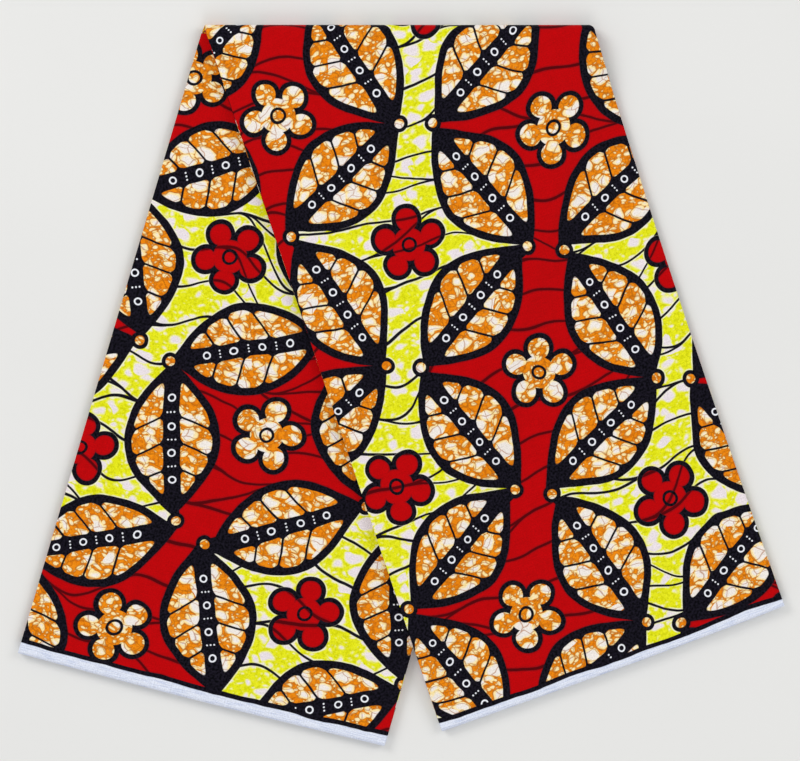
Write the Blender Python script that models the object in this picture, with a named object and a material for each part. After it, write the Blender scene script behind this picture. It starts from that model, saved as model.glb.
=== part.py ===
"""A length of wax print cotton, folded to and fro into a narrow strip and laid flat.

The strip is turned over once along a slanting fold, so it lies on the floor as an upside-down V.
The back leg lies flat on the floor. The front leg comes off the fold, crosses the back leg and
comes down to the floor beside it. Both hems are the cloth's selvedges.

Units are metres, +Z is up and +Y runs from the hems to the fold. The origin is on the floor, at
the middle of the part's box.
"""

import math

import bmesh
import bpy
from mathutils import Vector

# The strip: how many plies it is folded into, and how they lie
PLY_COUNT = 18
PLY_PITCH = 0.0004
FACE_WALL = 0.0010
GAP = 0.0003
STACK_HEIGHT = PLY_COUNT * PLY_PITCH
LAYERS_HEIGHT = STACK_HEIGHT - FACE_WALL - GAP
FOLDED_PAIRS = 8

# The fold across the strip, and the half-round turn that the whole strip makes there
FOLD_LENGTH = 0.3283
TURN_RADIUS = STACK_HEIGHT + GAP / 2
TURN_STEPS = 10
FOLD_SEGMENTS = 6

# The four long sides. Each starts at an end of the fold. Lean is in degrees from straight down
# (-Y), positive towards +X. Bow is how far the side's middle stands off its chord, towards +X.
LONG_SIDES = {
    "front_left": {"from": "left", "lean": 18.63, "length": 0.6303, "bow": 0.0},
    "front_right": {"from": "right", "lean": 18.33, "length": 0.5178, "bow": -0.0030},
    "back_left": {"from": "left", "lean": -16.50, "length": 0.5541, "bow": 0.0},
    "back_right": {"from": "right", "lean": -16.09, "length": 0.6348, "bow": 0.0},
}
SIDE_SEGMENTS = 12
HEM_SEGMENTS = 8
HEM_BOW = 0.0015

# Where the front leg comes down off the back leg's edge
DROP_RUN = 0.036
DROP_CUTS = (0.10, 0.22, 0.34, 0.45, 0.55, 0.66, 0.78, 0.90, 1.00)

# How the plies show at the edges: the groove between two folded pairs, and how far each pair has
# slipped back from the outline, from the lowest pair up
GROOVE_DEPTH = 0.0006
PAIR_SHOULDER = 0.3
SIDE_SLIPS = (0.0002, 0.0007, 0.0000, 0.0005, 0.0009, 0.0003, 0.0006, 0.0001)
HEM_SLIPS = (0.0004, 0.0015, 0.0006, 0.0021, 0.0009, 0.0002, 0.0016, 0.0008)
WALL_ROUND = 0.0002

PRINTED_RED = (0.46, 0.012, 0.014, 1.0)
PRINTED_ORANGE = (0.72, 0.24, 0.02, 1.0)
INNER_ORANGE = (0.60, 0.32, 0.10, 1.0)
COTTON_ROUGHNESS = 0.75


def clear_scene():
    for obj in list(bpy.data.objects):
        bpy.data.objects.remove(obj, do_unlink=True)


def cotton(name, colour):
    material = bpy.data.materials.new(name)
    material.use_nodes = True
    shader = material.node_tree.nodes["Principled BSDF"]
    shader.inputs["Base Color"].default_value = colour
    shader.inputs["Roughness"].default_value = COTTON_ROUGHNESS
    shader.inputs["Metallic"].default_value = 0.0
    return material


def smooth(share):
    """0 to 1 with no slope at either end."""
    share = min(max(share, 0.0), 1.0)
    return share * share * (3.0 - 2.0 * share)


# The plan of the part


def side_point(name, fold_ends, share):
    """A point of a long side, share of the way from the fold to the hem."""
    side = LONG_SIDES[name]
    lean = math.radians(side["lean"])
    along = Vector((math.sin(lean), -math.cos(lean)))
    across = Vector((math.cos(lean), math.sin(lean)))
    bow = side["bow"] * 4.0 * share * (1.0 - share)
    return fold_ends[side["from"]] + along * side["length"] * share + across * bow


def centred_fold():
    """The fold's two ends, placed so that the whole outline is centred on the origin."""
    ends = {"left": Vector((0.0, 0.0)), "right": Vector((FOLD_LENGTH, 0.0))}
    corners = [side_point(name, ends, 1.0) for name in LONG_SIDES] + list(ends.values())
    low = Vector(map(min, *[tuple(c) for c in corners]))
    high = Vector(map(max, *[tuple(c) for c in corners]))
    middle = (low + high) / 2.0
    return {key: end - middle for key, end in ends.items()}


FOLD_ENDS = centred_fold()
FOLD_Y = FOLD_ENDS["left"].y
AXIS_Y = FOLD_Y - TURN_RADIUS
AXIS_Z = TURN_RADIUS


def share_at_y(name, y):
    """Where a long side passes a height of the plan, near the fold."""
    side = LONG_SIDES[name]
    return (FOLD_Y - y) / (side["length"] * math.cos(math.radians(side["lean"])))


def inward(direction, inside):
    """The unit normal of a direction in plan, pointing to the inside."""
    normal = Vector((-direction.y, direction.x)).normalized()
    return normal if normal.dot(inside) > 0 else -normal


def leg_rim(left, right, top_y):
    """The leg's outline in plan, in order round it, from the fold's left end down.

    Each entry is the point, the way in from its long side and the way in from its hem, and the
    last two are zero where that edge isn't met.
    """
    none = Vector((0.0, 0.0))
    along_fold = Vector((1.0, 0.0))
    hem_left = side_point(left, FOLD_ENDS, 1.0)
    hem_right = side_point(right, FOLD_ENDS, 1.0)
    hem_way = hem_right - hem_left
    hem_in = inward(hem_way, -hem_left)
    ways_in = {
        name: inward(side_point(name, FOLD_ENDS, 1.0) - side_point(name, FOLD_ENDS, 0.0), sign)
        for name, sign in ((left, along_fold), (right, -along_fold))
    }

    def down_side(name, sign):
        start = share_at_y(name, top_y)
        found = []
        for step in range(SIDE_SEGMENTS + 1):
            share = start + (1.0 - start) * step / SIDE_SEGMENTS
            point = side_point(name, FOLD_ENDS, share)
            if step == 0:
                point.y = top_y
            side_in = sign * along_fold if step == 0 else ways_in[name]
            found.append((point, side_in, hem_in if step == SIDE_SEGMENTS else none))
        return found

    rim = down_side(left, 1.0)
    for step in range(1, HEM_SEGMENTS):
        share = step / HEM_SEGMENTS
        bow = HEM_BOW * 4.0 * share * (1.0 - share)
        rim.append((hem_left + hem_way * share - hem_in * bow, none, hem_in))
    rim += reversed(down_side(right, -1.0))
    fold_right, fold_left = rim[-1][0], rim[0][0]
    for step in range(1, FOLD_SEGMENTS):
        rim.append((fold_right.lerp(fold_left, step / FOLD_SEGMENTS), none, none))
    return rim


def off_back_leg(point):
    """How far a point in plan lies past the back leg's right side, at a right angle to it."""
    start = side_point("back_right", FOLD_ENDS, 0.0)
    way = side_point("back_right", FOLD_ENDS, 1.0) - start
    return (point - start).dot(Vector((-way.y, way.x)).normalized())


# The front leg is still carried where it leaves the turn, so it starts to drop there
DROP_START = off_back_leg(
    Vector((side_point("front_right", FOLD_ENDS, share_at_y("front_right", AXIS_Y)).x, AXIS_Y))
)


def front_lift(point):
    """The height of the front leg's underside over the floor."""
    share = (off_back_leg(point) - DROP_START) / DROP_RUN
    return (STACK_HEIGHT + GAP) * (1.0 - smooth(share))


def on_floor(_point):
    return 0.0


def with_crossings(rim, offsets):
    """The rim with a point added wherever it crosses a line at one of these drop distances."""
    for offset in offsets:
        found = []
        for here, after in zip(rim, rim[1:] + rim[:1]):
            found.append(here)
            a = off_back_leg(here[0]) - offset
            b = off_back_leg(after[0]) - offset
            if a * b < 0:
                share = a / (a - b)
                found.append(tuple(h.lerp(f, share) for h, f in zip(here, after)))
        rim = found
    return rim


# The solids


def edge_levels(height, pairs):
    """The edge's profile from the bottom up, as (height, way in at a side, way in at a hem)."""
    pitch = height / pairs
    levels = []
    for pair in range(pairs):
        side, hem = SIDE_SLIPS[pair], HEM_SLIPS[pair]
        low = pair * pitch
        levels.append((low, side + GROOVE_DEPTH, hem + GROOVE_DEPTH))
        levels.append((low + pitch * PAIR_SHOULDER, side, hem))
        levels.append((low + pitch * (1.0 - PAIR_SHOULDER), side, hem))
    levels.append((height, side + GROOVE_DEPTH, hem + GROOVE_DEPTH))
    return levels


def wall_levels():
    """The edge's profile of one ply: a wall with its corners taken off."""
    return [
        (0.0, WALL_ROUND, WALL_ROUND),
        (FACE_WALL / 2.0, 0.0, 0.0),
        (FACE_WALL, WALL_ROUND, WALL_ROUND),
    ]


def slab(rim, levels, base, lift, cuts=()):
    """A closed bmesh of the rim's shape. It stands base over what lifts it, and its edge follows
    the levels. Its top and underside are split along the cut lines, so that they bend there."""
    rim = with_crossings(rim, cuts)
    bm = bmesh.new()
    loops = []
    for height, side_in, hem_in in levels:
        loop = []
        for point, from_side, from_hem in rim:
            at = point + from_side * side_in + from_hem * hem_in
            loop.append(bm.verts.new((at.x, at.y, base + height + lift(at))))
        loops.append(loop)
    count = len(rim)
    for lower, upper in zip(loops, loops[1:]):
        for i in range(count):
            j = (i + 1) % count
            bm.faces.new((lower[i], lower[j], upper[j], upper[i]))
    for loop in (loops[0], loops[-1]):
        face = bm.faces.new(loop)
        for offset in sorted(cuts):
            ends = [
                v
                for v, entry in zip(loop, rim)
                if abs(off_back_leg(entry[0]) - offset) < 1e-7
            ]
            new_face, _ = bmesh.utils.face_split(face, ends[0], ends[1])
            face = max((face, new_face), key=lambda f: farthest(f, loop, rim))
    bmesh.ops.recalc_face_normals(bm, faces=bm.faces)
    return bm


def farthest(face, loop, rim):
    """The greatest drop distance among a face's corners."""
    where = {v: off_back_leg(entry[0]) for v, entry in zip(loop, rim)}
    return max(where[v] for v in face.verts)


def turn_shift():
    """How far the strip's sides move along the fold in the turn, from the front to the back."""
    at_front = side_point("front_left", FOLD_ENDS, share_at_y("front_left", AXIS_Y)).x
    at_back = side_point("back_left", FOLD_ENDS, share_at_y("back_left", AXIS_Y)).x
    return at_back - at_front


def spin_round(bm, geom):
    """Carries faces at the turn's start round its axis, from the front leg to the back one."""
    return bmesh.ops.spin(
        bm,
        geom=geom,
        cent=(0.0, AXIS_Y, AXIS_Z),
        axis=(1.0, 0.0, 0.0),
        dvec=(turn_shift() / TURN_STEPS, 0.0, 0.0),
        angle=-math.pi,
        steps=TURN_STEPS,
        use_duplicate=False,
    )


def to_object(name, bm, material):
    bmesh.ops.recalc_face_normals(bm, faces=bm.faces)
    mesh = bpy.data.meshes.new(name)
    bm.to_mesh(mesh)
    bm.free()
    mesh.materials.append(material)
    mesh.shade_smooth()
    mesh.set_sharp_from_angle(angle=math.radians(30))
    obj = bpy.data.objects.new(name, mesh)
    bpy.context.scene.collection.objects.link(obj)
    return obj


def drop_cuts():
    return [DROP_START + DROP_RUN * share for share in DROP_CUTS]


def make_back_leg(layers_material, face_material):
    rim = leg_rim("back_left", "back_right", AXIS_Y - GAP)
    layers = slab(rim, edge_levels(LAYERS_HEIGHT, FOLDED_PAIRS), 0.0, on_floor)
    to_object("back_layers", layers, layers_material)
    face = slab(rim, wall_levels(), LAYERS_HEIGHT + GAP, on_floor)
    to_object("back_face", face, face_material)


def make_front_leg(layers_material, face_material):
    rim = leg_rim("front_left", "front_right", AXIS_Y - GAP)
    layers = slab(
        rim, edge_levels(LAYERS_HEIGHT, FOLDED_PAIRS), 0.0, front_lift, drop_cuts()
    )
    to_object("front_layers", layers, layers_material)

    rim = leg_rim("front_left", "front_right", AXIS_Y)
    face = slab(rim, wall_levels(), LAYERS_HEIGHT + GAP, front_lift, drop_cuts())
    at_fold = [
        f for f in face.faces if all(abs(v.co.y - AXIS_Y) < 1e-6 for v in f.verts)
    ]
    spin_round(face, at_fold + list({e for f in at_fold for e in f.edges}))
    to_object("front_face", face, face_material)


def make_turn(layers_material):
    """The hidden plies where the whole strip turns over, one in the other round the fold."""
    left = side_point("front_left", FOLD_ENDS, share_at_y("front_left", AXIS_Y)).x
    right = side_point("front_right", FOLD_ENDS, share_at_y("front_right", AXIS_Y)).x
    base = STACK_HEIGHT + GAP
    levels = edge_levels(LAYERS_HEIGHT, FOLDED_PAIRS)
    bm = bmesh.new()
    up = [bm.verts.new((right - side, AXIS_Y, base + height)) for height, side, _ in levels]
    down = [bm.verts.new((left + side, AXIS_Y, base + height)) for height, side, _ in levels]
    section = bm.faces.new(up + down[::-1])
    spin_round(bm, [section, *section.edges, *section.verts])
    to_object("turn_layers", bm, layers_material)


def main():
    clear_scene()
    front_cotton = cotton("printed_cotton_front", PRINTED_RED)
    back_cotton = cotton("printed_cotton_back", PRINTED_ORANGE)
    layers_cotton = cotton("folded_cotton", INNER_ORANGE)
    make_back_leg(layers_cotton, back_cotton)
    make_front_leg(layers_cotton, front_cotton)
    make_turn(layers_cotton)


main()
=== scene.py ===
"""How a folded length of wax print cotton looks, laid flat as an upside-down V.

Shapes are in metres, in the frame's own axes. The print is worked out in millimetres on the cloth
as it was cut: u runs along the selvedges, across the folded strip, and v runs from the front hem's
selvedge to the back hem's.
"""

import math
from collections import namedtuple

import bpy
import numpy as np
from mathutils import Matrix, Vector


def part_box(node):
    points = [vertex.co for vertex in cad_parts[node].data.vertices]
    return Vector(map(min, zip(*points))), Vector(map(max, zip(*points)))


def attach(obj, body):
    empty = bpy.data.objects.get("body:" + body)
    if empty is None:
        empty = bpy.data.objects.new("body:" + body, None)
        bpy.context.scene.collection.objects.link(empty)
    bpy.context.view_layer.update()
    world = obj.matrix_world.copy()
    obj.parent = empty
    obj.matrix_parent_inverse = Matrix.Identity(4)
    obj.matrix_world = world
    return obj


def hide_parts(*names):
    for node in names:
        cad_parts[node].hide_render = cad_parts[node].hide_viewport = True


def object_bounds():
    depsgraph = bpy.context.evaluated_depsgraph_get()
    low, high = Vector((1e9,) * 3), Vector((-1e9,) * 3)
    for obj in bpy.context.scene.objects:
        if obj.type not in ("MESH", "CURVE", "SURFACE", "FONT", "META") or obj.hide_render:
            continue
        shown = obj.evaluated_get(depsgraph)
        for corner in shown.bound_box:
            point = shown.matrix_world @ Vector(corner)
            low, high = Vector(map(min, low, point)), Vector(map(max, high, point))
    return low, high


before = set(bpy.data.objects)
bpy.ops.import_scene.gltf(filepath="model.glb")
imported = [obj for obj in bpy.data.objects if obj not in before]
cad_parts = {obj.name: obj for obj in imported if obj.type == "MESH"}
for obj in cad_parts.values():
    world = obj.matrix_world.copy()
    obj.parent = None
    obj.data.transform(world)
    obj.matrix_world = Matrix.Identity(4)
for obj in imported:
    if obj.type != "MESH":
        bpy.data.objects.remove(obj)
CAD_LOW, CAD_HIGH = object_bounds()
MM = 0.001

# The stack of plies, as high as the solids have it
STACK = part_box("back_face")[1][2]
GAP = CAD_HIGH[2] - 2 * STACK
PLY_COUNT = 18
PITCH = STACK / PLY_COUNT
CLOTH_THICKNESS = 0.00028

# The cloth as it was cut, 5.486 m long and as wide as the strip is long. Each ply that shows has its
# left edge at a place along the cut, and both its edges are folded under.
CLOTH_WIDTH = 1.168
STRIP_WIDTH = 0.312
FRONT_PLY_CUT = 0.020
BACK_PLY_CUT = 5.200
TUCK = 0.020

# The strip's plan. Each long side starts at an end of the fold at the top. Lean is in degrees from
# straight down (-Y), positive towards +X, and bow is how far its middle stands off its chord.
FOLD_LENGTH = 0.3283
LongSide = namedtuple("LongSide", "start lean length bow")
LONG_SIDES = {
    "front_left": LongSide("left", 18.63, 0.6303, 0.0),
    "front_right": LongSide("right", 18.33, 0.5178, -0.0030),
    "back_left": LongSide("left", -16.50, 0.5541, 0.0),
    "back_right": LongSide("right", -16.09, 0.6348, 0.0),
}
HEM_BOW = 0.0015
DROP_RUN = 0.036

# How far in each end of the fold comes where it is rounded in plan. The power keeps the rounding
# close to the turn's outermost line.
CORNER_LEFT = 0.0008
CORNER_RIGHT = 0.0028
CORNER_POWER = 4

# How much looser than pressed flat the stack lies, as a share of its height. It is the sum of a
# mean and of waves in plan, which have radians for each metre of x and y.
LOFT = 0.05
LOFT_WAVE = 0.016
Wave = namedtuple("Wave", "x y start")
LOFT_WAVES = [Wave(19, 7, 0.6), Wave(-14, 11, 2.1), Wave(5, 31, 0.0)]

# A station is a place along the strip: 0 at the front hem, 1 where the turn starts, 2 where it ends
# and 3 at the back hem
STATIONS = np.arange(4.0)


# The strip's shape


def unit(lean):
    """The way that a side leans, one metre of it, in plan."""
    angle = math.radians(lean)
    return np.array([math.sin(angle), -math.cos(angle)])


def side_end(name, fold):
    """Where a long side ends, at its hem."""
    side = LONG_SIDES[name]
    return fold[side.start] + unit(side.lean) * side.length


def fold_ends():
    """The two ends of the fold, placed so that the whole outline is centred on the origin."""
    fold = {"left": np.zeros(2), "right": np.array([FOLD_LENGTH, 0.0])}
    corners = np.array([side_end(name, fold) for name in LONG_SIDES] + list(fold.values()))
    middle = (corners.min(axis=0) + corners.max(axis=0)) / 2
    return {key: end - middle for key, end in fold.items()}


FOLD = fold_ends()
AXIS_Z = STACK + GAP / 2
AXIS_Y = FOLD["left"][1] - AXIS_Z


def bulge(rise, share):
    """A parabola that is 0 at both ends of a stretch and has a given rise in the middle."""
    return rise * 4 * share * (1 - share)


def on_side(name, share):
    """Points of a long side, share of the way from where the turn starts to the hem."""
    side = LONG_SIDES[name]
    start = AXIS_Z / (side.length * math.cos(math.radians(side.lean)))
    share = start + (1 - start) * share
    along = unit(side.lean)
    across = np.array([-along[1], along[0]])
    bow = bulge(side.bow, share)
    return FOLD[side.start] + np.outer(share * side.length, along) + np.outer(bow, across)


def leg_length(leg, across):
    """How long a leg is from the turn to the hem, at a place across it."""
    lengths = []
    for hand in ("left", "right"):
        side = LONG_SIDES[f"{leg}_{hand}"]
        lengths.append(side.length - AXIS_Z / math.cos(math.radians(side.lean)))
    left, right = lengths
    return left + (right - left) * across


def on_leg(leg, share, across):
    """Points of a leg in plan, share of the way from the turn to its hem."""
    left = on_side(f"{leg}_left", share)
    right = on_side(f"{leg}_right", share)
    hem_way = on_side(f"{leg}_right", np.ones(1))[0] - on_side(f"{leg}_left", np.ones(1))[0]
    hem_out = np.array([hem_way[1], -hem_way[0]]) / np.linalg.norm(hem_way)
    bow = bulge(HEM_BOW, across) * share
    return left + (right - left) * across[:, None] + np.outer(bow, hem_out)


def off_back_leg(points):
    """How far points in plan lie past the back leg's right side."""
    along = unit(LONG_SIDES["back_right"].lean)
    return (points - FOLD["right"]) @ np.array([-along[1], along[0]])


def smooth(share):
    """A share eased in and out, from 0 to 1."""
    share = np.clip(share, 0, 1)
    return share * share * (3 - 2 * share)


DROP_START = off_back_leg(on_side("front_right", np.zeros(1)))[0]


def front_lift(points):
    """How high the front leg's underside is: on the back leg, or coming down to the floor."""
    return (STACK + GAP) * (1 - smooth((off_back_leg(points) - DROP_START) / DROP_RUN))


def loft(points):
    """How much looser than pressed flat the stack lies at points in plan."""
    x, y = points[:, 0], points[:, 1]
    rolling = sum(np.sin(wave.x * x + wave.y * y + wave.start) for wave in LOFT_WAVES)
    return LOFT + LOFT_WAVE * rolling


def place(station, across, depth):
    """Where points of the strip lie. depth is measured from the ply that is inside at the turn."""
    station, across, depth = np.broadcast_arrays(station, across, depth)
    station, across, depth = (np.asarray(a, dtype=float).ravel() for a in (station, across, depth))
    out = np.zeros((len(station), 3))

    front = station <= 1
    points = on_leg("front", 1 - station[front], across[front])
    out[front, :2] = points
    out[front, 2] = front_lift(points) + depth[front]

    back = station >= 2
    points = on_leg("back", station[back] - 2, across[back])
    out[back, :2] = points
    out[back, 2] = STACK - depth[back]

    turn = ~front & ~back
    share = station[turn] - 1
    nothing = np.zeros(turn.sum())
    here = on_leg("front", nothing, across[turn])
    there = on_leg("back", nothing, across[turn])
    radius = depth[turn] + GAP / 2
    rounding = radius / AXIS_Z * np.sin(math.pi * share) ** CORNER_POWER
    pulled_in = rounding * (CORNER_LEFT * (1 - across[turn]) - CORNER_RIGHT * across[turn])
    out[turn, 0] = here[:, 0] + (there[:, 0] - here[:, 0]) * share + pulled_in
    out[turn, 1] = AXIS_Y + radius * np.sin(math.pi * share)
    out[turn, 2] = AXIS_Z + radius * np.cos(math.pi * share)

    out[:, 2] *= 1 + loft(out[:, :2])
    return out


def cut_place(station, across, exact=None):
    """How far along the cloth's width points of the strip lie, from the front hem's edge. The leg
    named by exact is true to length, and what the fold's slant leaves over is taken up in the
    rest, where it is hidden. With none named it is all taken up in the turn."""
    turn_length = math.pi * STACK
    front_end = leg_length("front", across)
    back_start = CLOTH_WIDTH - leg_length("back", across)
    if exact == "front":
        back_start = front_end + turn_length
    if exact == "back":
        front_end = back_start - turn_length
    knots = np.stack([np.zeros_like(across), front_end, back_start, np.full_like(across, CLOTH_WIDTH)])
    low = np.clip(np.floor(station).astype(int), 0, 2)
    share = station - low
    columns = np.arange(len(across))
    return knots[low, columns] * (1 - share) + knots[low + 1, columns] * share


# Meshes


def make_mesh(name, points, faces, cloth_uv, bake_uv, material):
    """A smooth piece with two maps, one place for each point: the cloth as cut, in metres, and
    the bake's own."""
    mesh = bpy.data.meshes.new(name)
    mesh.from_pydata(points.tolist(), [], faces.tolist())
    corners = np.empty(len(mesh.loops), dtype=np.int32)
    mesh.loops.foreach_get("vertex_index", corners)
    for map_name, places in (("OFBake", bake_uv), ("Cloth", cloth_uv)):
        layer = mesh.uv_layers.new(name=map_name)
        layer.data.foreach_set("uv", places[corners].astype(np.float32).ravel())
    mesh.uv_layers.active = mesh.uv_layers["Cloth"]
    mesh.uv_layers["Cloth"].active_render = True
    mesh.materials.append(material)
    mesh.shade_smooth()
    obj = bpy.data.objects.new(name, mesh)
    bpy.context.scene.collection.objects.link(obj)
    return obj


def quads(point_numbers):
    """The quads between the rows and columns of a grid of point numbers."""
    near, far = point_numbers[:-1], point_numbers[1:]
    return np.stack([near[:, :-1], near[:, 1:], far[:, 1:], far[:, :-1]], axis=-1).reshape(-1, 4)


def ramp(counts, ends):
    """Values running through ends, with a number of equal steps between each pair."""
    pieces = [np.linspace(a, b, n, endpoint=False) for n, a, b in zip(counts, ends, ends[1:])]
    return np.concatenate(pieces + [ends[-1:]])


# Steps across a ply: its top, each tuck and each folded edge between them
TOP_STEPS = 92
TUCK_STEPS = 3
ARC_STEPS = 4

# Steps along a ply: the leg where it is on top, the turn and the leg where it is hidden
SHOWN_STEPS = 190
TURN_STEPS = 20
HIDDEN_STEPS = 40

# Where a ply's edges and stations fall on the bake's map, which gives most room to what shows
MAP_ACROSS = [0.01, 0.05, 0.95, 0.99]
MAP_ALONG = {"front": [0.01, 0.80, 0.84, 0.99], "back": [0.01, 0.16, 0.20, 0.99]}


def ply_section():
    """A ply from side to side, with both its edges folded under. For each point: how far in from the
    left side, how far towards the outside of the turn, the way along the cloth from the left fold,
    and where that falls on the bake's map."""
    half = PITCH / 2
    arc = np.linspace(0, math.pi, ARC_STEPS + 1)[1:-1]
    tuck = np.linspace(TUCK, half, TUCK_STEPS + 1)
    flat = np.linspace(half, STRIP_WIDTH - half, TOP_STEPS + 1)
    left_in = np.concatenate([tuck, half - half * np.sin(arc)])
    left_down = np.concatenate([np.full(len(tuck), -PITCH), -half - half * np.cos(arc)])
    inward = np.concatenate([left_in, flat, (STRIP_WIDTH - left_in)[::-1]])
    down = np.concatenate([left_down, np.zeros(len(flat)), left_down[::-1]])
    steps = np.hypot(np.diff(inward), np.diff(down))
    way = np.concatenate([[0], np.cumsum(steps)])
    edge_steps = TUCK_STEPS + ARC_STEPS
    on_map = ramp([edge_steps, TOP_STEPS, edge_steps], MAP_ACROSS)
    return inward, down, way - way[len(left_in)], on_map


def make_ply(name, outside, shown_leg, cut_start, material):
    """One ply of the strip from hem to hem: on top of the shown leg and under the other."""
    steps = [SHOWN_STEPS, TURN_STEPS, HIDDEN_STEPS]
    if shown_leg == "back":
        steps.reverse()
    station = ramp(steps, STATIONS)
    along_map = ramp(steps, MAP_ALONG[shown_leg])
    inward, down, way, across_map = ply_section()
    grid_station, grid_across = np.meshgrid(station, inward / STRIP_WIDTH, indexing="ij")
    grid_station, grid_across = grid_station.ravel(), grid_across.ravel()
    towards_outside = np.tile(down if outside else -down, len(station))
    start = STACK - CLOTH_THICKNESS / 2 if outside else CLOTH_THICKNESS / 2
    points = place(grid_station, grid_across, start + towards_outside)
    across_cloth = cut_start + np.tile(way if outside else -way, len(station))
    cloth_uv = np.stack([across_cloth, cut_place(grid_station, grid_across, shown_leg)], axis=1)
    bake_uv = np.stack([np.tile(across_map, len(station)), np.repeat(along_map, len(inward))], axis=1)
    faces = quads(np.arange(len(points)).reshape(len(station), len(inward)))
    if not outside:
        faces = faces[:, ::-1]
    obj = make_mesh(name, points, faces, cloth_uv, bake_uv, material)
    solid = obj.modifiers.new("thickness", "SOLIDIFY")
    solid.thickness = CLOTH_THICKNESS
    solid.offset = 0
    solid.use_even_offset = True
    return obj


# The hidden plies, seven folded pairs. At the sides a pair shows as one rounded fold, and at the
# hems as two ply ends. Each row is one of a pair's eight levels, in millimetres: how high it is in
# the pair at a side and how far in, then the same at a hem, where 'end' is the ply's end and
# 'root' is the bottom of the slit between two plies.
PAIR_COUNT = 7
PAIR_HEIGHT = 0.8
SIDE_ROOT = 1.8
HEM_ROOT = 4.2
Level = namedtuple("Level", "side_height side_in hem_height hem_in")
PAIR_LEVELS = [
    Level(0.03, SIDE_ROOT, 0.06, "root"),
    Level(0.08, 0.22, 0.06, "end"),
    Level(0.22, 0.05, 0.34, "end"),
    Level(0.36, 0.00, 0.34, "root"),
    Level(0.44, 0.00, 0.46, "root"),
    Level(0.58, 0.05, 0.46, "end"),
    Level(0.72, 0.22, 0.74, "end"),
    Level(0.77, SIDE_ROOT, 0.74, "root"),
]
LEVEL_COUNT = PAIR_COUNT * len(PAIR_LEVELS)

# How far in from the edge each pair or ply lies, in millimetres: a mean, how much that differs from
# one to the next, how much it wanders along the edge, and how much a ply end is askew
Slip = namedtuple("Slip", "mean differs wanders")
SIDE_SLIP = Slip(0.25, 0.45, 0.22)
HEM_SLIP = Slip(1.1, 0.9, 0.25)
HEM_ASKEW = 1.2

# The waves that set those slips. They have radians for each station, or for the strip's width, and
# for each pair or ply, in steps that never fall into line. The right side and the back hem start
# further on than the left side and the front hem, and a side wave's start is a multiple of that.
SideWave = namedtuple("SideWave", "station pair start")
SIDE_WAVES = [SideWave(2.1, 1.7, 1), SideWave(5.3, 2.9, 2)]
SIDE_DIFFERS_EACH_PAIR = 2.4
RIGHT_SIDE_START = 2.6
HEM_DIFFERS_EACH_PLY = 2.7
HEM_ASKEW_EACH_PLY = 1.3
HEM_WAVE_EACH_PLY = 2.2
HEM_WAVE_ACROSS = 4.1
BACK_HEM_START = 1.9

# The hidden plies' steps from hem to hem and across, and where they fall on the bake's map: their
# edges, then their underside and their top, each as a strip with a margin at both ends
ALONG_STEPS = [110, 24, 110]
ACROSS_STEPS = 56
EDGES_ON_MAP = (0.02, 0.76)
SHEETS_ON_MAP = (0.80, 0.90)
SHEET_ON_MAP = 0.08
MAP_MARGIN = 0.01
STATIONS_ON_MAP = 3.1

# Over how far past the outer plies' tucks the hidden plies come up to fill the room beside them
FILL_RUN = 0.006


def slip_at_side(pair, left, station):
    """How far in a folded pair lies from the strip's side, in millimetres. It wanders slowly."""
    start = 0.0 if left else RIGHT_SIDE_START
    wander = sum(
        np.sin(wave.station * station + wave.pair * pair + wave.start * start) for wave in SIDE_WAVES
    )
    differs = math.sin(SIDE_DIFFERS_EACH_PAIR * pair + start)
    return SIDE_SLIP.mean + SIDE_SLIP.differs * differs + SIDE_SLIP.wanders * wander


def slip_at_hem(ply, front, across):
    """How far back a ply's end lies from the hem, in millimetres. Plies lie a little askew."""
    start = 0.0 if front else BACK_HEM_START
    differs = math.sin(HEM_DIFFERS_EACH_PLY * ply + start)
    askew = math.sin(HEM_ASKEW_EACH_PLY * ply + start) * (across - 0.5)
    wander = np.sin(HEM_WAVE_ACROSS * across + HEM_WAVE_EACH_PLY * ply + start)
    return HEM_SLIP.mean + HEM_SLIP.differs * differs + HEM_ASKEW * askew + HEM_SLIP.wanders * wander


def fill_beyond_tucks(depth, across):
    """The hidden plies' depth, spread a little wider where the outer plies have no tuck."""
    past_tuck = np.minimum(across, 1 - across) * STRIP_WIDTH - TUCK
    middle = STACK / 2
    wider = 1 + PITCH / (middle - 2 * PITCH) * smooth(past_tuck / FILL_RUN)
    return middle + (depth - middle) * wider


def rim_of(last_row, last_column):
    """The rows and columns of the points round a grid's rim, in order."""
    rim = (
        [(row, 0) for row in range(last_row)]
        + [(last_row, column) for column in range(last_column)]
        + [(row, last_column) for row in range(last_row, 0, -1)]
        + [(0, column) for column in range(last_column, 0, -1)]
    )
    return np.array(rim).T


# The points round the hidden plies' rim. side_way is 1 at the left side and -1 at the right, and
# hem_way is 1 at the front hem and -1 at the back, so that both point inwards. Elsewhere they are 0.
Rim = namedtuple("Rim", "station across side_way hem_way leg_length")


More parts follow.
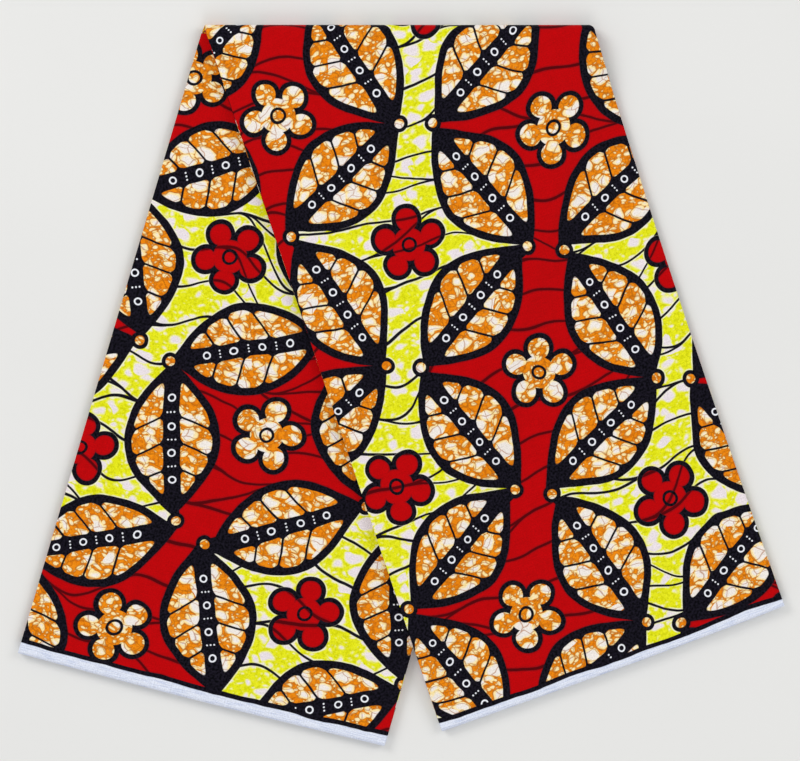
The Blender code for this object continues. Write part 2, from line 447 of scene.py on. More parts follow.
def edge_of_level(pair, index, rim):
    """One level of a folded pair's edge, once round the rim: where it lies, here and on the cut."""
    level = PAIR_LEVELS[index]
    ply = 2 * pair + index // (len(PAIR_LEVELS) // 2)
    side_in = np.full(len(rim.station), SIDE_ROOT)
    if level.side_in != SIDE_ROOT:
        slips = [slip_at_side(pair, left, rim.station) for left in (True, False)]
        side_in = np.where(rim.side_way > 0, *slips) + level.side_in
    hem_in = np.full(len(rim.station), HEM_ROOT)
    if level.hem_in == "end":
        slips = [slip_at_hem(ply, front, rim.across) for front in (True, False)]
        hem_in = np.where(rim.hem_way > 0, *slips)
    across = rim.across + rim.side_way * (side_in * MM / STRIP_WIDTH)
    station = rim.station + rim.hem_way * (hem_in * MM / rim.leg_length)
    height = np.where(rim.hem_way != 0, level.hem_height, level.side_height)
    depth = 2 * PITCH + (pair * PAIR_HEIGHT + height) * MM
    share_of_cut = across if ply % 2 == 0 else 1 - across
    along_cut = ply * STRIP_WIDTH + share_of_cut * STRIP_WIDTH
    points = place(station, across, fill_beyond_tucks(depth, across))
    return points, np.stack([along_cut, cut_place(station, across)], axis=1)


def make_hidden_plies(name, material):
    """All the hidden plies as one closed solid: their edges, level by level, between two sheets."""
    station = ramp(ALONG_STEPS, STATIONS)
    across = np.linspace(0, 1, ACROSS_STEPS + 1)
    grid_shape = (len(station), len(across))
    last_row, last_column = len(station) - 1, ACROSS_STEPS
    rows, columns = rim_of(last_row, last_column)
    rim_size = len(rows)
    ring = np.arange(rim_size)
    rim_station, rim_across = station[rows], across[columns]
    legs = [leg_length(leg, rim_across) for leg in ("front", "back")]
    rim = Rim(
        station=rim_station,
        across=rim_across,
        side_way=(columns == 0) * 1.0 - (columns == last_column),
        hem_way=(rows == 0) * 1.0 - (rows == last_row),
        leg_length=np.where(rim_station < STATIONS.mean(), *legs),
    )

    points, cloth, bake, faces = [], [], [], []
    map_start, map_run = EDGES_ON_MAP
    for number in range(LEVEL_COUNT):
        level_points, level_cloth = edge_of_level(*divmod(number, len(PAIR_LEVELS)), rim)
        points.append(level_points)
        cloth.append(level_cloth)
        up_map = map_start + map_run * number / (LEVEL_COUNT - 1)
        bake.append(np.stack([ring / rim_size, np.full(rim_size, up_map)], axis=1))
    ring_numbers = np.arange(LEVEL_COUNT)[:, None] * rim_size + np.append(ring, 0)
    faces.append(quads(ring_numbers)[:, [0, 3, 2, 1]])

    inside_station, inside_across = np.meshgrid(station[1:-1], across[1:-1], indexing="ij")
    inside_shape = inside_station.shape
    inside_station, inside_across = inside_station.ravel(), inside_across.ravel()
    lowest = PAIR_LEVELS[0].side_height
    for at_top, height in enumerate((lowest, PAIR_COUNT * PAIR_HEIGHT - lowest)):
        numbers = np.empty(grid_shape, dtype=int)
        numbers[rows, columns] = at_top * (LEVEL_COUNT - 1) * rim_size + ring
        first = LEVEL_COUNT * rim_size + at_top * inside_station.size
        numbers[1:-1, 1:-1] = first + np.arange(inside_station.size).reshape(inside_shape)
        depth = 2 * PITCH + height * MM
        points.append(place(inside_station, inside_across, fill_beyond_tucks(depth, inside_across)))
        along_width = cut_place(inside_station, inside_across)
        cloth.append(np.stack([inside_across * STRIP_WIDTH, along_width], axis=1))
        along_map = MAP_MARGIN + inside_station / STATIONS_ON_MAP
        across_map = SHEETS_ON_MAP[at_top] + SHEET_ON_MAP * inside_across
        bake.append(np.stack([along_map, across_map], axis=1))
        sheet = quads(numbers)
        faces.append(sheet if at_top else sheet[:, ::-1])
    joined = [np.concatenate(parts) for parts in (points, faces, cloth, bake)]
    return make_mesh(name, *joined, material)


# The print, in millimetres. Its repeat is a loose trellis of four leaves and four berries, with a
# flower in each of its two openings. One opening has yellow ground and the other red. A motif has
# its middle in the repeat, and its turn in degrees.
REPEAT_U = 236.0
REPEAT_V = 204.0
PRINT_LEAN = 22.0
PRINT_START = (31.5, -7.5, 0.0)

# A dyed edge is soft over this much each way. The two grounds meet halfway between their flowers, in
# an ink line that is nowhere narrower than the meeting line.
RAGGED = 0.22
MEETING_LINE = 3.2

Leaf = namedtuple("Leaf", "u v turn")
LEAVES = [
    Leaf(61, 50, 134),
    Leaf(175, 53, 46),
    Leaf(57, 154, 53),
    Leaf(179, 151, 128),
]
LEAF_HALF_LENGTH = 67.0
LEAF_HALF_WIDTH = 40.0
LEAF_TAPER = 1.15
LEAF_BORDER = 6.2

# Veins leave the midrib at equal spaces, as far as the last one each way from the leaf's middle.
# The lobes between them have corners cut back by marks with hollow sides.
MIDRIB_HALF_WIDTH = 6.6
VEIN_HALF_WIDTH = 0.92
VEIN_SPACING = 23.0
VEIN_SLANT = 0.5
LAST_VEIN = 1
LOBE_ROUNDING = 9.0
LOBE_INSET = 0.3
Mark = namedtuple("Mark", "wide deep")
MARK_AT_BORDER = Mark(6.4, 5.2)
MARK_AT_MIDRIB = Mark(5.2, 4.4)
MARK_CURVE = 2 / 3
MARK_SHARPNESS = 3.3

# On the midrib, up to a reach each way, are rings between the veins and rows of dots at them
MIDRIB_REACH = 44.0
RING_RADIUS = 2.7
RING_HALF_WIDTH = 0.62
DOT_RADIUS = 0.7
DOT_SPACING = 2.9

Berry = namedtuple("Berry", "u v")
BERRIES = [Berry(15, 101), Berry(221, 100), Berry(102, 2), Berry(134, 1)]
BERRY_RADIUS = 7.4
BERRY_RIM = 3.4

Flower = namedtuple("Flower", "u v turn")
FLOWER_ON_YELLOW = Flower(0, 0, 33)
FLOWER_ON_RED = Flower(118, 102, 6)
PETAL_COUNT = 5
PETAL_REACH = 20.5
PETAL_RADIUS = 13.0
FLOWER_CORE = 18.3
FLOWER_OUTLINE = 4.0
FLOWER_EYE = 5.6
EYE_HALF_WIDTH = 1.2
FLOWER_TURN_EACH_ROW = 19.0

# The range that the stamped outlines wander in, and over what size. Then the same for the bubbles
# and cracks, which are drawn out along the selvedges too.
OUTLINE_WANDER = 5.0
OUTLINE_WANDER_SIZE = 45
BUBBLE_WANDER = 9.0
BUBBLE_WANDER_SIZE = 14
BUBBLE_STRETCH = (0.82, 1.18, 0.0)

# Three sizes of bubble. Least and spread are shares of the pitch, and below 0 there is no bubble.
Bubbles = namedtuple("Bubbles", "pitch least spread")
BUBBLES = [Bubbles(13.5, 0.10, 0.42), Bubbles(6.0, 0.03, 0.36), Bubbles(3.1, -0.60, 0.85)]
CRACK_SPACING = 9.0
CRACK_HALF_WIDTH = 0.32

# How much wider a bubble in the yellow is beside the ink
WIDER_BY_INK = 0.9

# Hairlines run along the selvedges and drift off and back, by a number of their spacings. Between
# each two another crosses over, on a share of each fork's spacing. The cosine of its slant keeps it
# as wide as the rest.
HAIRLINE_SPACING = 30.0
HAIRLINE_HALF_WIDTH = 1.05
HAIRLINE_DRIFT = 2.3
HAIRLINE_DRIFT_SIZE = (105, 300)
FORK_SPACING = 170.0
CROSSING_SHARE = 0.42
CROSSING_COSINE = 0.86

# How much of each selvedge is white at its hem, and how wide the dark line beside it is
FRONT_WHITE = 6.6
BACK_WHITE = 8.9
SELVEDGE_LINE = 4.0

# How long and wide a slub is, and the width of a thread. The weft's slubs and the weave's height are
# shares of what the warp's slubs have.
SLUB_LENGTH = 16
SLUB_WIDTH = 0.9
THREAD = 0.34
WEFT_SHARE = 0.6
WEAVE_SHARE = 0.25

# Slubs and a fine grain make the dye uneven. Each multiplies it by its rise times a noise, plus the
# least.
Shade = namedtuple("Shade", "rise least")
SLUB_SHADE = Shade(0.2, 0.84)
GRAIN_SHADE = Shade(0.4, 0.8)


def srgb(red, green, blue):
    """An 8-bit screen colour as the linear one that a shader takes."""
    linear = [
        c / 255 / 12.92 if c <= 10 else ((c / 255 + 0.055) / 1.055) ** 2.4 for c in (red, green, blue)
    ]
    return (*linear, 1.0)


INK = srgb(0, 0, 4)
INK_WORN = srgb(25, 22, 34)
RED = srgb(180, 0, 3)
RED_PALE = srgb(190, 0, 6)
RED_LINE = srgb(84, 0, 6)
ORANGE = srgb(232, 126, 2)
ORANGE_PALE = srgb(240, 146, 22)
ORANGE_DEEP = srgb(196, 100, 6)
RIM_BROWN = srgb(168, 94, 12)
CREAM = srgb(238, 231, 224)
CREAM_EDGE = srgb(250, 226, 160)
YELLOW = srgb(220, 222, 0)
YELLOW_PALE = srgb(234, 235, 40)
YELLOW_DEEP = srgb(200, 202, 0)
YELLOW_EDGE = srgb(240, 238, 148)
YELLOW_BUBBLE = srgb(232, 222, 226)
FRINGE = srgb(242, 241, 214)
WHITE = srgb(238, 240, 246)
SELVEDGE = srgb(226, 231, 244)
SELVEDGE_SHADE = srgb(196, 204, 226)


class Nodes:
    """Short ways to add a material's nodes and join them up."""

    def __init__(self, tree):
        self.tree = tree

    def feed(self, socket, value):
        if isinstance(value, bpy.types.NodeSocket):
            self.tree.links.new(value, socket)
        else:
            socket.default_value = value

    def add(self, kind, **settings):
        node = self.tree.nodes.new(kind)
        for key, value in settings.items():
            setattr(node, key, value)
        return node

    def math(self, operation, *values):
        node = self.add("ShaderNodeMath", operation=operation)
        for socket, value in zip(node.inputs, values):
            self.feed(socket, value)
        return node.outputs[0]

    def vector(self, operation, *values, scale=None):
        node = self.add("ShaderNodeVectorMath", operation=operation)
        for socket, value in zip(node.inputs, values):
            self.feed(socket, value)
        if scale is not None:
            self.feed(node.inputs["Scale"], scale)
        return node.outputs["Value" if operation in ("LENGTH", "DOT_PRODUCT") else "Vector"]

    def parts(self, vector):
        node = self.add("ShaderNodeSeparateXYZ")
        self.feed(node.inputs[0], vector)
        return node.outputs[0], node.outputs[1]

    def join(self, x, y):
        node = self.add("ShaderNodeCombineXYZ")
        self.feed(node.inputs[0], x)
        self.feed(node.inputs[1], y)
        return node.outputs[0]

    def turned(self, vector, angle):
        node = self.add("ShaderNodeVectorRotate", rotation_type="Z_AXIS")
        self.feed(node.inputs["Vector"], vector)
        self.feed(node.inputs["Angle"], angle)
        return node.outputs[0]

    def pick(self, factor, a, b, kind="VECTOR"):
        """a where factor is 0 and b where it is 1."""
        node = self.add("ShaderNodeMix", data_type=kind)
        sockets = {socket.identifier: socket for socket in [*node.inputs, *node.outputs]}
        ending = {"VECTOR": "_Vector", "RGBA": "_Color", "FLOAT": "_Float"}[kind]
        self.feed(sockets["Factor_Float"], factor)
        self.feed(sockets["A" + ending], a)
        self.feed(sockets["B" + ending], b)
        return sockets["Result" + ending]

    def paint(self, factor, under, over, strength=None):
        """One colour over another where factor is 1, as thickly as strength says."""
        if strength is not None:
            factor = self.math("MULTIPLY", factor, strength)
        return self.pick(factor, under, over, kind="RGBA")

    def within(self, distance, reach=None, soft=RAGGED):
        """1 where a distance is below its reach, which is 0 if none is given, and 0 above it. The
        edge is soft, as dye leaves it."""
        if reach is not None:
            distance = self.math("SUBTRACT", distance, reach)
        node = self.add("ShaderNodeMapRange", clamp=True)
        self.feed(node.inputs["Value"], distance)
        for name, value in (("From Min", -soft), ("From Max", soft), ("To Min", 1.0), ("To Max", 0.0)):
            node.inputs[name].default_value = value
        return node.outputs[0]

    def above(self, value, least, soft=RAGGED):
        """1 where a value is above the least one and 0 below it, with a soft edge."""
        return self.within(self.math("SUBTRACT", least, value), soft=soft)

    def line(self, distance, at, half_width, soft=RAGGED):
        """A line of a given half width, where a distance has the value at."""
        off_line = self.math("ABSOLUTE", self.math("SUBTRACT", distance, at))
        return self.within(off_line, reach=half_width, soft=soft)

    def noise(self, where, size, detail=1.0, roughness=0.5, colour=False):
        """Soft patches of about a given size, from 0 to 1, or three such values as a colour."""
        node = self.add("ShaderNodeTexNoise", noise_dimensions="2D")
        self.feed(node.inputs["Vector"], where)
        node.inputs["Scale"].default_value = 1 / size
        node.inputs["Detail"].default_value = detail
        node.inputs["Roughness"].default_value = roughness
        return node.outputs["Color" if colour else "Fac"]

    def moved_about(self, where, reach, size, **settings):
        """Places moved by up to half of reach each way, over a given size."""
        noise = self.noise(where, size, colour=True, **settings)
        move = self.vector("MULTIPLY_ADD", noise, (reach, reach, 0.0), (-reach / 2, -reach / 2, 0.0))
        return self.vector("ADD", where, move)

    def cells(self, where, size, feature="F1"):
        node = self.add("ShaderNodeTexVoronoi", voronoi_dimensions="2D", feature=feature)
        self.feed(node.inputs["Vector"], where)
        node.inputs["Scale"].default_value = 1 / size
        return node


# Where the print's shapes are


def from_motif(n, layout, motif):
    """Where a place is, measured from the nearest copy of a motif's middle. layout is the place on
    the cloth, turned into the repeat's own axes."""
    offset = n.vector("SUBTRACT", layout, (motif.u, motif.v, 0.0))
    half = (REPEAT_U / 2, REPEAT_V / 2, 1.0)
    minus_half = (-REPEAT_U / 2, -REPEAT_V / 2, -1.0)
    return n.vector("WRAP", offset, half, minus_half)


def nearest_berry(n, layout):
    """How far outside the nearest berry a place is. Berries cover the leaf tips where they meet."""
    nearest = None
    for berry in BERRIES:
        reach = n.vector("LENGTH", from_motif(n, layout, berry))
        nearest = reach if nearest is None else n.math("MINIMUM", nearest, reach)
    return n.math("SUBTRACT", nearest, BERRY_RADIUS)


def nearest_leaf(n, layout):
    """How far outside the nearest leaf a place is, and where it is in that leaf's own axes."""
    steepest = 2 * LEAF_TAPER * LEAF_HALF_WIDTH / LEAF_HALF_LENGTH
    best_distance = best_offset = None
    for leaf in LEAVES:
        offset = n.turned(from_motif(n, layout, leaf), math.radians(-leaf.turn))

        # Its half width falls from the middle to a fine point at each end
        along, across = n.parts(n.vector("ABSOLUTE", offset))
        share = n.math("MINIMUM", n.math("DIVIDE", along, LEAF_HALF_LENGTH), 1.0)
        left_over = n.math("SUBTRACT", 1.0, n.math("MULTIPLY", share, share))
        half_width = n.math("MULTIPLY", n.math("POWER", left_over, LEAF_TAPER), LEAF_HALF_WIDTH)
        slope = n.math("MULTIPLY", n.math("POWER", left_over, LEAF_TAPER - 1), share)
        slant = n.vector("LENGTH", n.join(1.0, n.math("MULTIPLY", slope, steepest)))
        beside = n.math("DIVIDE", n.math("SUBTRACT", across, half_width), slant)
        distance = n.math("MAXIMUM", beside, n.math("SUBTRACT", along, LEAF_HALF_LENGTH))
        if best_distance is None:
            best_distance, best_offset = distance, offset
            continue
        nearer = n.math("LESS_THAN", distance, best_distance)
        best_offset = n.pick(nearer, best_offset, offset)
        best_distance = n.math("MINIMUM", distance, best_distance)
    return best_distance, best_offset


def nearest_flower(n, layout):
    """1 on red ground and 0 on yellow, how far a place is from where they meet, how far outside the
    nearest flower it is, and how far from that flower's middle."""
    flowers = (FLOWER_ON_YELLOW, FLOWER_ON_RED)
    offsets = [from_motif(n, layout, flower) for flower in flowers]
    lead = n.math("SUBTRACT", n.vector("LENGTH", offsets[0]), n.vector("LENGTH", offsets[1]))
    on_red = n.math("GREATER_THAN", lead, 0.0)
    offset = n.pick(on_red, *offsets)
    centre = n.vector("SUBTRACT", layout, offset)
    row = n.math("DIVIDE", n.parts(centre)[1], REPEAT_V / 2)
    turns = [math.radians(-flower.turn) for flower in flowers]
    first_turn = n.pick(on_red, *turns, kind="FLOAT")
    turn = n.math("MULTIPLY_ADD", row, math.radians(FLOWER_TURN_EACH_ROW), first_turn)
    x, y = n.parts(n.turned(offset, turn))
    reach = n.vector("LENGTH", offset)
    half_petal = math.pi / PETAL_COUNT
    angle = n.math("WRAP", n.math("ARCTAN2", y, x), half_petal, -half_petal)
    from_petal = n.join(
        n.math("MULTIPLY_ADD", n.math("COSINE", angle), reach, -PETAL_REACH),
        n.math("MULTIPLY", n.math("SINE", angle), reach),
    )
    distance = n.math("SUBTRACT", n.vector("LENGTH", from_petal), PETAL_RADIUS)
    distance = n.math("MINIMUM", distance, n.math("SUBTRACT", reach, FLOWER_CORE))
    return on_red, n.math("ABSOLUTE", lead), distance, reach


def wax_bubbles(n, where):
    """How far outside the nearest bubble a place is, where wax kept the dye off."""
    nearest = None
    for bubbles in BUBBLES:
        cells = n.cells(where, bubbles.pitch)
        size = n.math("MULTIPLY_ADD", n.parts(cells.outputs["Color"])[0], bubbles.spread, bubbles.least)
        edge = n.math("MULTIPLY", n.math("SUBTRACT", cells.outputs["Distance"], size), bubbles.pitch)
        nearest = edge if nearest is None else n.math("MINIMUM", nearest, edge)
    return nearest


def wax_cracks(n, where):
    """1 in the fine cracks of the wax, where dye ran in."""
    from_crack = n.cells(where, CRACK_SPACING, feature="DISTANCE_TO_EDGE").outputs["Distance"]
    return n.within(n.math("MULTIPLY_ADD", from_crack, CRACK_SPACING, -CRACK_HALF_WIDTH), soft=0.3)


def hairlines(n, where):
    """How far a place is from the wandering lines that run along the selvedges' way. Between
    each two of them others cross over, and meet them in forks."""
    drift_u, drift_v = HAIRLINE_DRIFT_SIZE
    drift = n.noise(n.vector("MULTIPLY", where, (1 / drift_u, 1 / drift_v, 0.0)), size=1)
    u, v = n.parts(where)
    count = n.math("MULTIPLY_ADD", drift, HAIRLINE_DRIFT, n.math("DIVIDE", v, HAIRLINE_SPACING))
    strip = n.math("FLOOR", count)
    share = n.math("SUBTRACT", count, strip)
    chance = n.add("ShaderNodeTexWhiteNoise", noise_dimensions="1D")
    n.feed(chance.inputs["W"], strip)
    falling = n.math("GREATER_THAN", n.parts(chance.outputs["Color"])[1], 0.5)
    shown_share = n.pick(falling, share, n.math("SUBTRACT", 1.0, share), kind="FLOAT")
    way = n.math("FRACT", n.math("ADD", n.math("DIVIDE", u, FORK_SPACING), chance.outputs["Value"]))
    climb = n.add("ShaderNodeMapRange", interpolation_type="SMOOTHSTEP")
    n.feed(climb.inputs["Value"], way)
    climb.inputs["From Max"].default_value = CROSSING_SHARE
    crossing = n.math("ABSOLUTE", n.math("SUBTRACT", shown_share, climb.outputs[0]))
    crossing = n.math("MULTIPLY", crossing, CROSSING_COSINE)
    lines = n.math("MINIMUM", share, n.math("SUBTRACT", 1.0, share))
    return n.math("MULTIPLY", n.math("MINIMUM", lines, crossing), HAIRLINE_SPACING)


def leaf_lobes(n, leaf_distance, offset):
    """1 in a leaf's lobes: what its border, midrib, slanting veins and the marks at their ends
    leave of it."""
    along, signed_across = n.parts(offset)
    across = n.math("ABSOLUTE", signed_across)
    from_border = n.math("SUBTRACT", n.math("MULTIPLY", leaf_distance, -1.0), LEAF_BORDER)
    from_midrib = n.math("SUBTRACT", across, MIDRIB_HALF_WIDTH)
    slanted = n.math("MULTIPLY_ADD", across, -VEIN_SLANT, along)
    past_last = n.math("SUBTRACT", n.math("ABSOLUTE", slanted), (LAST_VEIN + 0.5) * VEIN_SPACING)
    from_vein = n.math("MAXIMUM", n.math("PINGPONG", slanted, VEIN_SPACING / 2), past_last)
    from_vein = n.math("MULTIPLY", from_vein, math.cos(math.atan(VEIN_SLANT)))

    def from_mark(mark, edge_distance):
        """How far from a vein's end a place is, as a share: 1 on the mark's hollow side."""
        inward = n.math("MAXIMUM", edge_distance, 0.0)
        across_mark = n.math("POWER", n.math("DIVIDE", from_vein, mark.wide), MARK_CURVE)
        into_lobe = n.math("POWER", n.math("DIVIDE", inward, mark.deep), MARK_CURVE)
        return n.math("ADD", across_mark, into_lobe)

    at_border = from_mark(MARK_AT_BORDER, from_border)
    at_midrib = from_mark(MARK_AT_MIDRIB, from_midrib)
    past_mark = n.math("SUBTRACT", n.math("MINIMUM", at_border, at_midrib), 1.0)
    marks = n.within(n.math("MULTIPLY", past_mark, MARK_SHARPNESS))
    off_lobes = n.math("MAXIMUM", marks, n.within(from_vein, reach=VEIN_HALF_WIDTH))
    narrowest = n.math("SMOOTH_MIN", from_border, from_midrib, LOBE_ROUNDING)
    return n.math("MULTIPLY", n.above(narrowest, LOBE_INSET), n.math("SUBTRACT", 1.0, off_lobes))


def midrib_marks(n, offset):
    """1 in a midrib's rings, between the veins, and in the rows of three dots where veins start."""
    along, signed_across = n.parts(offset)
    across = n.math("ABSOLUTE", signed_across)
    from_ring = n.math("SUBTRACT", n.math("WRAP", along, VEIN_SPACING, 0.0), VEIN_SPACING / 2)
    rings = n.line(n.vector("LENGTH", n.join(from_ring, signed_across)), RING_RADIUS, RING_HALF_WIDTH)
    from_dots = n.math("WRAP", along, VEIN_SPACING / 2, -VEIN_SPACING / 2)
    middle_dot = n.vector("LENGTH", n.join(from_dots, signed_across))
    side_dot = n.vector("LENGTH", n.join(from_dots, n.math("SUBTRACT", across, DOT_SPACING)))
    dots = n.within(n.math("MINIMUM", middle_dot, side_dot), reach=DOT_RADIUS)
    on_midrib = n.within(n.math("ABSOLUTE", along), reach=MIDRIB_REACH)
    return n.math("MULTIPLY", n.math("MAXIMUM", rings, dots), on_midrib)


# The print's dyes


def orange_dye(n, cloth, bubble_edge, cracks):
    """Mottled orange. Where dye bled under the wax a bubble has a brown rim and a tint inside it."""
    cream = n.paint(n.within(bubble_edge, reach=-1.3, soft=0.8), CREAM_EDGE, CREAM)
    rim = n.line(bubble_edge, at=0.5, half_width=0.32, soft=0.35)
    mottle = n.above(n.noise(cloth, size=3.2), least=0.56, soft=0.05)
    orange = n.paint(n.noise(cloth, size=11), ORANGE, ORANGE_PALE)
    orange = n.paint(mottle, orange, ORANGE_DEEP, strength=0.6)
    orange = n.paint(n.within(bubble_edge, reach=0.3, soft=0.4), orange, cream)
    return n.paint(n.math("MAXIMUM", rim, cracks), orange, RIM_BROWN, strength=0.75)


def yellow_dye(n, cloth, bubble_edge, from_ink):
    """Specked yellow. It shows more bare cloth beside the ink, in bubbles and in a thin fringe."""
    near_ink = n.within(from_ink, reach=2.0, soft=1.6)
    edge = n.math("MULTIPLY_ADD", near_ink, -WIDER_BY_INK, bubble_edge)
    specks = n.above(n.noise(cloth, size=2.6), least=0.57, soft=0.05)
    yellow = n.paint(n.noise(cloth, size=8), YELLOW, YELLOW_PALE)
    yellow = n.paint(specks, yellow, YELLOW_DEEP, strength=0.6)
    yellow = n.paint(n.within(edge, reach=-0.7, soft=0.9), yellow, YELLOW_EDGE)
    yellow = n.paint(n.within(edge, reach=-1.5, soft=0.8), yellow, YELLOW_BUBBLE)
    broken = n.above(n.noise(cloth, size=12), least=0.46, soft=0.08)
    fringe = n.math("MULTIPLY", n.within(from_ink, reach=0.9, soft=0.4), broken)
    return n.paint(fringe, yellow, FRINGE, strength=0.8)


def slubs(n, cloth):
    """Uneven threads, which run along the selvedges in the warp and across them in the weft: the
    warp's alone, and both."""
    long, thin = 1 / SLUB_LENGTH, 1 / SLUB_WIDTH
    warp = n.noise(n.vector("MULTIPLY", cloth, (long, thin, 0.0)), size=1, detail=2.0)
    weft = n.noise(n.vector("MULTIPLY", cloth, (thin, long, 0.0)), size=1, detail=2.0)
    return warp, n.math("MULTIPLY_ADD", weft, WEFT_SHARE, warp)


def with_selvedges(n, where, colour, ink, warp):
    """The selvedges are bare, with a dark line where the print stops."""
    v = n.parts(where)[1]
    from_front = n.math("SUBTRACT", v, FRONT_WHITE)
    from_back = n.math("SUBTRACT", CLOTH_WIDTH / MM - BACK_WHITE, v)
    from_white = n.math("MINIMUM", from_front, from_back)
    selvedge = n.paint(n.above(warp, least=0.56, soft=0.12), SELVEDGE, SELVEDGE_SHADE)
    colour = n.paint(n.within(from_white, reach=SELVEDGE_LINE), colour, ink)
    return n.paint(n.within(from_white), colour, selvedge)


def woven_bump(n, cloth, slub):
    """A plain weave, where each wave is one thread over and one under."""
    weave_u, weave_v = n.parts(n.vector("SCALE", cloth, scale=math.pi / THREAD))
    weave = n.math("MULTIPLY", n.math("SINE", weave_u), n.math("SINE", weave_v))
    bump = n.add("ShaderNodeBump")
    bump.inputs["Strength"].default_value = 0.25
    bump.inputs["Distance"].default_value = 0.00012
    n.feed(bump.inputs["Height"], n.math("MULTIPLY_ADD", weave, WEAVE_SHARE, slub))
    return bump.outputs[0]


def print_colour(n, cloth, where, ink):
    """The print's own colour, before selvedges and threads. cloth is the place on the cut, and where
    is that place as the stamped outlines wander."""
    bubble_place = n.moved_about(cloth, BUBBLE_WANDER, BUBBLE_WANDER_SIZE)
    bubble_place = n.vector("MULTIPLY", bubble_place, BUBBLE_STRETCH)
    bubble_edge = wax_bubbles(n, bubble_place)

    # Distances outside each kind of ink line
    layout = n.vector("ADD", n.turned(where, math.radians(PRINT_LEAN)), PRINT_START)
    on_red, from_meeting, flower_distance, flower_reach = nearest_flower(n, layout)
    leaf_distance, offset = nearest_leaf(n, layout)
    berry_distance = nearest_berry(n, layout)
    meeting_line = n.math("SUBTRACT", from_meeting, MEETING_LINE)
    hairline = n.math("SUBTRACT", hairlines(n, where), HAIRLINE_HALF_WIDTH)
    outline_middle = n.math("ADD", flower_distance, FLOWER_OUTLINE / 2)
    outline = n.math("SUBTRACT", n.math("ABSOLUTE", outline_middle), FLOWER_OUTLINE / 2)
    from_ink = leaf_distance
    for distance in (berry_distance, meeting_line, hairline, outline):
        from_ink = n.math("MINIMUM", from_ink, distance)

    orange = orange_dye(n, cloth, bubble_edge, wax_cracks(n, bubble_place))
    yellow = yellow_dye(n, cloth, bubble_edge, from_ink)
    red = n.paint(n.noise(cloth, size=7, detail=2.0), RED, RED_PALE)

    # The grounds and their flowers
    in_flower = n.within(flower_distance, reach=-FLOWER_OUTLINE)
    in_outline = n.within(flower_distance)
    colour = n.paint(on_red, yellow, red)
    colour = n.paint(n.within(meeting_line), colour, ink)
    colour = n.paint(in_outline, colour, ink)
    colour = n.paint(in_flower, colour, n.paint(on_red, red, orange))

    # Ink bleeds a little into the red. Hairlines are black but on red, where they are a darker red.
    # They stop at outlines and at flowers with bubbles.
    on_red_dye = n.math("ABSOLUTE", n.math("SUBTRACT", on_red, in_flower))
    bleed = n.math("MULTIPLY", n.within(from_ink, reach=0.5, soft=0.9), on_red_dye)
    colour = n.paint(bleed, colour, ink, strength=0.5)
    red_flower = n.math("MULTIPLY", in_flower, n.math("SUBTRACT", 1.0, on_red))
    open_to_lines = n.math("ADD", n.math("SUBTRACT", 1.0, in_outline), red_flower)
    shown_lines = n.math("MULTIPLY", n.within(hairline), open_to_lines)
    colour = n.paint(shown_lines, colour, n.paint(on_red_dye, ink, RED_LINE))
    colour = n.paint(n.line(flower_reach, FLOWER_EYE, EYE_HALF_WIDTH), colour, ink)

    leaf = n.paint(leaf_lobes(n, leaf_distance, offset), ink, orange)
    leaf = n.paint(midrib_marks(n, offset), leaf, WHITE)
    colour = n.paint(n.within(leaf_distance), colour, leaf)
    colour = n.paint(n.within(berry_distance), colour, ink)
    return n.paint(n.within(berry_distance, reach=-BERRY_RIM), colour, orange)


def printed_cotton(name):
    """The wax print: dyes, waxed bubbles, crackle and weave, all worked out on the cloth as cut."""
    material = bpy.data.materials.new(name)
    material.use_nodes = True
    n = Nodes(material.node_tree)
    shader = material.node_tree.nodes["Principled BSDF"]
    shader.inputs["Roughness"].default_value = 0.6
    shader.inputs["Specular IOR Level"].default_value = 0.05

    cloth = n.add("ShaderNodeUVMap", uv_map="Cloth").outputs[0]
    cloth = n.vector("SCALE", cloth, scale=1 / MM)
    where = n.moved_about(cloth, OUTLINE_WANDER, OUTLINE_WANDER_SIZE, detail=3.0, roughness=0.42)
    ink = n.paint(n.above(n.noise(cloth, size=1.9), least=0.5, soft=0.2), INK, INK_WORN)
    warp, slub = slubs(n, cloth)
    colour = print_colour(n, cloth, where, ink)
    colour = with_selvedges(n, where, colour, ink, warp)

    grain_shade = n.math("MULTIPLY_ADD", n.noise(cloth, size=1.2), *GRAIN_SHADE)
    shade = n.math("MULTIPLY", n.math("MULTIPLY_ADD", slub, *SLUB_SHADE), grain_shade)
    n.feed(shader.inputs["Base Color"], n.vector("SCALE", colour, scale=shade))
    n.feed(shader.inputs["Normal"], woven_bump(n, cloth, slub))
    return material


# The stage


FLOOR_HALF_SIZE = 8.0
FLOOR_GREY = srgb(226, 226, 224)
FLOOR_PALE = srgb(232, 232, 230)
FLOOR_CLOUD = 1 / 3


def make_floor():
    """A wide floor, plain and pale, with the faintest clouding."""
    mesh = bpy.data.meshes.new("floor")
    ways = ((-1, -1), (1, -1), (1, 1), (-1, 1))
    corners = [(x * FLOOR_HALF_SIZE, y * FLOOR_HALF_SIZE, 0.0) for x, y in ways]
    mesh.from_pydata(corners, [], [(0, 1, 2, 3)])
    material = bpy.data.materials.new("floor")
    material.use_nodes = True
    n = Nodes(material.node_tree)
    shader = material.node_tree.nodes["Principled BSDF"]
    shader.inputs["Roughness"].default_value = 0.85
    where = n.add("ShaderNodeTexCoord").outputs["Object"]
    cloud = n.noise(where, size=FLOOR_CLOUD, detail=2.0)
    n.feed(shader.inputs["Base Color"], n.paint(cloud, FLOOR_GREY, FLOOR_PALE))
    mesh.materials.append(material)
    obj = bpy.data.objects.new("floor", mesh)
    bpy.context.scene.collection.objects.link(obj)


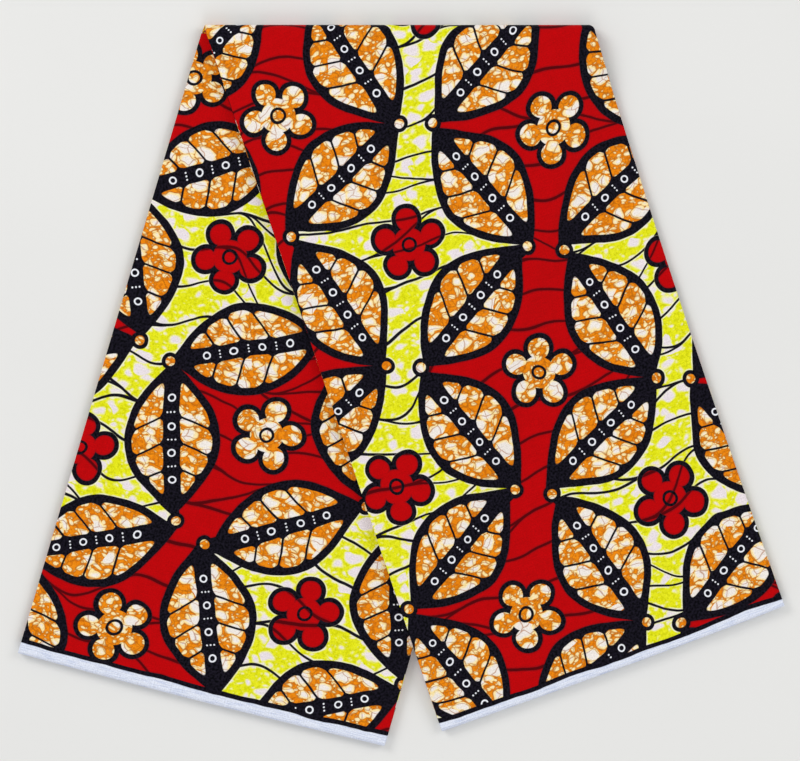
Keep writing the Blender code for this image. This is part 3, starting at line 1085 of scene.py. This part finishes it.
# The camera looks straight down, and the part's middle lands where the photograph has it
IMAGE_WIDTH, IMAGE_HEIGHT = 800, 761
METRES_A_PIXEL = 0.000846
PART_CENTRE_PIXEL = (401.25, 385.5)
CAMERA_DISTANCE = 2.4
CAMERA_REACH = 20
SENSOR_MM = 36


def make_camera():
    camera = bpy.data.cameras.new("camera")
    camera.sensor_fit = "HORIZONTAL"
    camera.sensor_width = SENSOR_MM
    camera.lens = SENSOR_MM * CAMERA_DISTANCE / (IMAGE_WIDTH * METRES_A_PIXEL)
    camera.clip_end = CAMERA_REACH
    obj = bpy.data.objects.new("camera", camera)
    right = (IMAGE_WIDTH / 2 - PART_CENTRE_PIXEL[0]) * METRES_A_PIXEL
    up = (PART_CENTRE_PIXEL[1] - IMAGE_HEIGHT / 2) * METRES_A_PIXEL
    obj.location = (right, up, CAMERA_DISTANCE + STACK)
    bpy.context.scene.collection.objects.link(obj)
    bpy.context.scene.camera = obj


# Square lamps that face the part, in metres and watts
Lamp = namedtuple("Lamp", "name x y z size power")
LAMPS = [
    Lamp("key", -1.9, 1.5, 2.0, 1.4, 34),
    Lamp("right", 2.1, 1.0, 2.0, 1.6, 20),
    Lamp("front", 0.4, -2.3, 2.0, 1.6, 20),
]
WORLD_LIGHT = 0.55


def make_lights():
    """The lamps, and an even white light from all round."""
    for lamp in LAMPS:
        light = bpy.data.lights.new(lamp.name, "AREA")
        light.size = lamp.size
        light.energy = lamp.power
        obj = bpy.data.objects.new(lamp.name, light)
        obj.location = (lamp.x, lamp.y, lamp.z)
        towards = math.atan2(lamp.y, lamp.x)
        lean = math.atan2(math.hypot(lamp.x, lamp.y), lamp.z)
        obj.rotation_euler = (0.0, lean, towards)
        bpy.context.scene.collection.objects.link(obj)
    world = bpy.data.worlds.new("studio")
    world.use_nodes = True
    background = world.node_tree.nodes["Background"]
    background.inputs["Color"].default_value = (1.0, 1.0, 1.0, 1.0)
    background.inputs["Strength"].default_value = WORLD_LIGHT
    bpy.context.scene.world = world
    bpy.context.scene.view_settings.view_transform = "Standard"


def main():
    make_camera()
    make_lights()
    make_floor()
    cotton = printed_cotton("wax_print_cotton")

    outer = make_ply("outer_ply", True, "front", FRONT_PLY_CUT, cotton)
    inner = make_ply("inner_ply", False, "back", BACK_PLY_CUT, cotton)
    hidden = make_hidden_plies("hidden_plies", cotton)
    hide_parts("front_face")
    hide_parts("back_face")
    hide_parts("front_layers", "back_layers", "turn_layers")
    for piece in (outer, inner, hidden):
        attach(piece, "root")


main()
